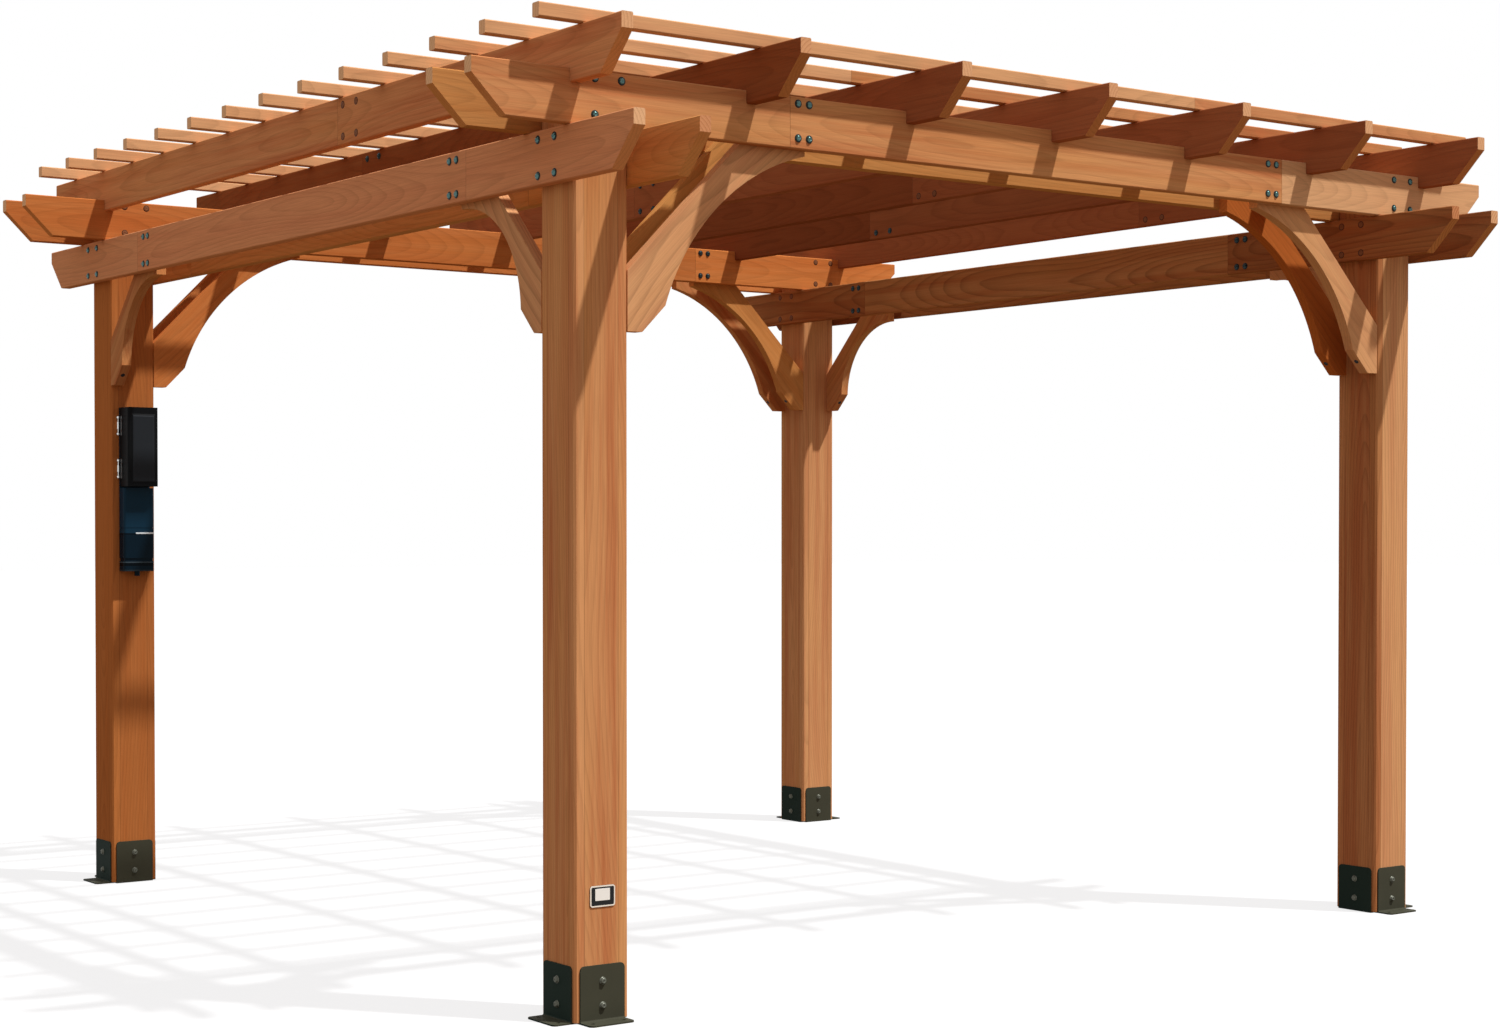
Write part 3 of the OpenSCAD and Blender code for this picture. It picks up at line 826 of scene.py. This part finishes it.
# bolts: profiles, heights of the two rows and distances along each member, metres
boltSet = {
    "head": [(0, .0046), (.0021, .0044), (.0026, .0060), (.0046, .0056), (.0064, .0044), (.0074, .0026),
             (.0078, .0008), (0, .0006)],
    "washer": [(0, .0012), (.0070, .0014), (.0100, .0016), (.0106, .0011), (.0107, -.0006), (0, -.0006)],
    "plug": [(0, .0002), (.0018, .0003), (.0026, .0007), (.0080, .0006), (.0086, .0002), (0, -.0004)],
    "plugRing": [(0, .0002), (.0100, .0003), (.0107, .0002), (.0107, -.0006), (0, -.0006)],
    "sides": 16,
    "rows": 0.0435,
    "postPitch": 0.038,
    "post": 1.458,
    "outerFace": 1.566,
    "innerFace": 1.350,
    "sideZ": 2.0875,
    "crossZ": 2.2230,
    "rafterZ": 2.3155,
    "sideSplice": (0.985, 1.021),
    "crossSplice": (0.852, 0.887),
    "rafterSplice": (0.388, 0.467),
}


def faceSpots(along, z, rows, axis, level, out):
    # spots on a face square to an axis, at its level, each followed by the way the face looks:
    # every pairing of a distance along the member with the upper and lower row
    a, h = np.meshgrid(np.asarray(along, float), [z - rows, z + rows], indexing="ij")
    spots = np.zeros((a.size, 6))
    spots[:, axis] = level
    spots[:, 1 - axis] = a.ravel()
    spots[:, 2] = h.ravel()
    spots[:, 3 + axis] = out
    return spots


def addSet(name, shape, spots, finishName, slot):
    addPiece(name, *setOut(shape, spots[:, :3], spots[:, 3:]), finishName, "frame", slot)


def makeBolts(s):
    ends = np.array([-1.0, 1.0])
    posts = (ends[:, None] * s["post"] + ends[None] * s["postPitch"]).ravel()
    head, washer, plug, ring = (turned(s[k], s["sides"]) for k in ("head", "washer", "plug", "plugRing"))
    for beam, axis in (("side", 0), ("cross", 1)):
        splices = (ends[:, None] * np.array(s[beam + "Splice"])[None]).ravel()
        outer, inner, plugs = [], [], []
        lots = ((outer, posts, "outerFace", 1), (outer, splices, "outerFace", 1),
                (inner, splices, "innerFace", -1), (plugs, posts, "innerFace", -1))
        for side in (-1, 1):
            for store, along, face, out in lots:
                store.append(faceSpots(along, s[beam + "Z"], s["rows"], axis, side * s[face], side * out))
        addSet(beam + "_beam_bolts", head, np.vstack(outer), "boltTeal", "shoe_steel")
        # heads on the inner faces take the darker painted shade finish
        addSet(beam + "_beam_inner_bolts", head, np.vstack(inner), "boltDeep", "shoe_steel")
        addSet(beam + "_beam_washers", washer, np.vstack(outer + inner), "washerDark", "shoe_steel")
        addSet(beam + "_beam_plugs", plug, np.vstack(plugs), "plugBrown", "beam_timber")
        addSet(beam + "_beam_plug_rings", ring, np.vstack(plugs), "plugRing", "beam_timber")
    # on the rafters heads and plugs change sides from one to the next
    heads, plugs = [], []
    for name in sorted(n for n in nodes if n.startswith("rafter")):
        low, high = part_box(name)
        odd = int(name.split("_")[1]) % 2
        way = -1 if odd else 1
        headFace, plugFace = (high.x, low.x) if odd else (low.x, high.x)
        along = way * np.array(s["rafterSplice"])
        heads.append(faceSpots(along, s["rafterZ"], s["rows"], 0, headFace, -way))
        plugs.append(faceSpots(along, s["rafterZ"], s["rows"], 0, plugFace, way))
    # rafter heads take the darker painted shade finish
    addSet("rafter_bolts", head, np.vstack(heads), "boltDeep", "shoe_steel")
    addSet("rafter_washers", washer, np.vstack(heads), "washerDark", "shoe_steel")
    addSet("rafter_plugs", plug, np.vstack(plugs), "plugBrown", "beam_timber")
    addSet("rafter_plug_rings", ring, np.vstack(plugs), "plugRing", "beam_timber")


makeBolts(boltSet)

# screws in the shoes, and in the sloping cut of each brace a black screw with the shade of its pocket painted
# in
screwSet = {
    "shoeHead": [(0, .0052), (.0024, .0050), (.0030, .0074), (.0052, .0070), (.0070, .0056), (.0080, .0034),
                 (.0082, .0012), (.0096, .0010), (.0098, -.0006), (0, -.0006)],
    "shoeHeights": (0.040, 0.100),
    "shoeFace": 0.080,  # from the middle of the post to the outside of the plate
    "plug": [(0, .00020), (.0050, .00020), (.0062, .00055), (.0071, .00050), (.0075, -.0006), (0, -.0006)],
    "sides": 16,
    "post": 1.458,
    # middle of a brace's sloping cut: from the post's face, and up
    "pairCut": (0.0770, 1.7050),  # on a front or back brace
    "sideCut": (0.0655, 1.7025),  # on a side brace
    "postFace": 1.382,
    "pair": (1.398, 1.518),  # middles of the two front or back braces
    "sideAt": 1.518,
}


def makeScrews(s):
    corners = [(x, y) for x in (-1, 1) for y in (-1, 1)]
    way = np.array([[1, 0], [-1, 0], [0, 1], [0, -1]], float)
    posts = np.array(corners) * s["post"]
    spot = (posts[:, None] + way[None] * s["shoeFace"]).reshape(-1, 2)
    spots = np.vstack([np.column_stack([spot, np.full(len(spot), z)]) for z in s["shoeHeights"]])
    facing = np.tile(np.column_stack([way, np.zeros(len(way))]), (len(spots) // len(way), 1))
    heads = setOut(turned(s["shoeHead"], s["sides"]), spots, facing)
    addPiece("shoe_bolts", *heads, "shoeBolt", "frame", "shoe_steel")
    out, up = s["pairCut"]
    spots = [[x * (s["postFace"] - out), y * p, up] for x, y in corners for p in s["pair"]]
    facing = [[-x, 0, -1.0] for x, y in corners for p in s["pair"]]
    out, up = s["sideCut"]
    spots += [[x * s["sideAt"], y * (s["postFace"] - out), up] for x, y in corners]
    facing += [[0, -y, -1.0] for x, y in corners]
    plugs = setOut(turned(s["plug"], s["sides"]), spots, facing)
    # black discs: screws, with the shade of their pockets painted in
    addPiece("brace_screws", *plugs, "screwBlack", "frame", "shoe_steel")


makeScrews(screwSet)
print("bolts and screws made")

# small plate on the near post: a pale rim round a black field with a pale panel, and nothing on it;
# each ring of a shape is set in by its first value and raised by its second
plateSet = {
    "middle": (-1.4566, -1.534, 0.3045), "half": (0.0360, 0.0260), "corner": 0.007, "sides": 64,
    "bodyRings": [(0, -.0005), (0, .0012), (.0006, .0016)],
    "rimRings": [(.0002, .0010), (.0004, .0024), (.0036, .0024), (.0036, .0010)],
    "panelHalf": (0.0210, 0.0145), "panelCorner": 0.0015, "panelUp": 0.0038,
    "panelRings": [(0, .0010), (0, .0018), (.0003, .0020)],
}
leastCorner = 0.0008  # radius that a ring's corners keep


def roundedOutline(half, corner, count):
    # points round a rectangle with circular corners: the corner's centre plus its radius at angle a
    a = (np.arange(count) + 0.5) * 2 * np.pi / count
    c, d = np.cos(a), np.sin(a)
    x = np.sign(c) * (half[0] - corner) + corner * c
    y = np.sign(d) * (half[1] - corner) + corner * d
    return np.stack([x, y], -1)


def stackedRings(half, corner, rings, count):
    # outlines set in by each ring's first value and raised by its second, one above the other
    stack = []
    for inset, height in rings:
        size = (half[0] - inset, half[1] - inset)
        outline = roundedOutline(size, max(corner - inset, leastCorner), count)
        stack.append(np.column_stack([outline, np.full(count, height)]))
    return np.stack(stack)


def frontFace(points, middle):
    # flat shape drawn in x, up, out is stood on a face that looks towards the front
    x, up, out = points[..., 0], points[..., 1], points[..., 2]
    return np.stack([x + middle[0], middle[1] - out, up + middle[2]], -1).reshape(-1, 3)


def ringFaces(rows, count, closed):
    i = np.arange(count)
    j = (i + 1) % count
    r = np.arange(rows if closed else rows - 1)[:, None]
    low, high = r * count, ((r + 1) % rows) * count
    return np.stack([low + i, low + j, high + j, high + i], -1).reshape(-1, 4).tolist()


def cappedFaces(rows, count):
    top = list(range((rows - 1) * count, rows * count))
    return ringFaces(rows, count, False) + [top, list(range(count))[::-1]]


def joined(parts):
    # several shapes as one: their points stacked, their faces counted on
    points, faces, count = [], [], 0
    for partPoints, partFaces in parts:
        points.append(partPoints)
        faces += [[v + count for v in face] for face in partFaces]
        count += len(partPoints)
    return np.vstack(points), faces


def makePlate(s):
    n = s["sides"]
    x, y, z = s["middle"]
    body = frontFace(stackedRings(s["half"], s["corner"], s["bodyRings"], n), s["middle"])
    faces = cappedFaces(len(s["bodyRings"]), n)
    addPiece("post_plate", body, faces, "plateBlack", "frame", "shoe_steel", smooth=False)
    rim = frontFace(stackedRings(s["half"], s["corner"], s["rimRings"], n), s["middle"])
    faces = ringFaces(len(s["rimRings"]), n, True)
    addPiece("post_plate_rim", rim, faces, "plateCream", "frame", smooth=False)
    panel = stackedRings(s["panelHalf"], s["panelCorner"], s["panelRings"], n)
    panel = frontFace(panel, (x, y, z + s["panelUp"]))
    faces = cappedFaces(len(s["panelRings"]), n)
    addPiece("post_plate_panel", panel, faces, "panelWhite", "frame", smooth=False)


makePlate(plateSet)

# outlet unit: pale strip round the right of the housing, and two sockets behind the cover
outletSet = {
    "middleX": -1.453, "postFace": 1.382, "halfWidth": 0.053, "depth": 0.042, "corner": 0.009, "bendSteps": 9,
    "stripZ": 1.1765, "stripHeight": 0.0056, "stripFrom": -1.465, "stripReturn": 0.008,
    "stripSink": 0.0003, "stripProud": 0.0004,
    "sides": 48, "socketFace": 0.034, "socketHeights": (1.410, 1.520),
    "socketHalf": (0.021, 0.018), "socketCorner": 0.007,
    "socketRings": [(0, -.0004), (0, .0010), (.0007, .0014)],
    "slotRings": [(0, .0008), (0, .0016)],
    # two upright slots and a round one: across, up, half size, corner
    "slots": [(-0.0064, 0.003, (0.0012, 0.0042), 0.0006), (0.0064, 0.003, (0.0012, 0.0042), 0.0006),
              (0.0, -0.0085, (0.0026, 0.0026), 0.0024)],
}


def makeStrip(s):
    # a flat section carried along the front, round the corner and a little way down the side
    right = s["middleX"] + s["halfWidth"]
    front = s["postFace"] - s["depth"]
    a = np.linspace(-np.pi / 2, 0, s["bendSteps"])
    turn = np.column_stack([np.cos(a), np.sin(a)])
    bend = np.array([right - s["corner"], front + s["corner"]]) + s["corner"] * turn
    path = np.vstack([[s["stripFrom"], front], bend, [right, front + s["corner"] + s["stripReturn"]]])
    out = np.vstack([[0, -1], turn, [1, 0]])
    h, sink, proud = s["stripHeight"] / 2, s["stripSink"], s["stripProud"]
    section = np.array([[-sink, -h], [proud, -h + proud], [proud, h - proud], [-sink, h]])
    flat = path[:, None] + section[None, :, :1] * out[:, None]
    heights = np.broadcast_to(s["stripZ"] + section[None, :, 1:], flat.shape[:2] + (1,))
    points = np.concatenate([flat, heights], -1).reshape(-1, 3)
    rows, count = len(path), len(section)
    last = list(range((rows - 1) * count, rows * count))
    faces = sleeveQuads(rows, count).tolist() + [list(range(count)), last[::-1]]
    addPiece("outlet_strip", points, faces, "paleStrip", "frame", smooth=False)


def makeSockets(s):
    # rounded faces with two upright slots and a round one
    faceY = s["postFace"] - s["socketFace"]
    n = s["sides"]
    shells, slots = [], []
    for z in s["socketHeights"]:
        shell = stackedRings(s["socketHalf"], s["socketCorner"], s["socketRings"], n)
        place = (s["middleX"], faceY, z)
        shells.append((frontFace(shell, place), cappedFaces(len(s["socketRings"]), n)))
        for across, up, half, corner in s["slots"]:
            slot = stackedRings(half, corner, s["slotRings"], n)
            place = (s["middleX"] + across, faceY, z + up)
            slots.append((frontFace(slot, place), cappedFaces(len(s["slotRings"]), n)))
    addPiece("outlet_sockets", *joined(shells), "socketGrey", "frame", "outlet_black", smooth=False)
    addPiece("outlet_socket_slots", *joined(slots), "plateBlack", "frame", "outlet_black", smooth=False)


makeStrip(outletSet)
makeSockets(outletSet)
print("plate and outlet details made")
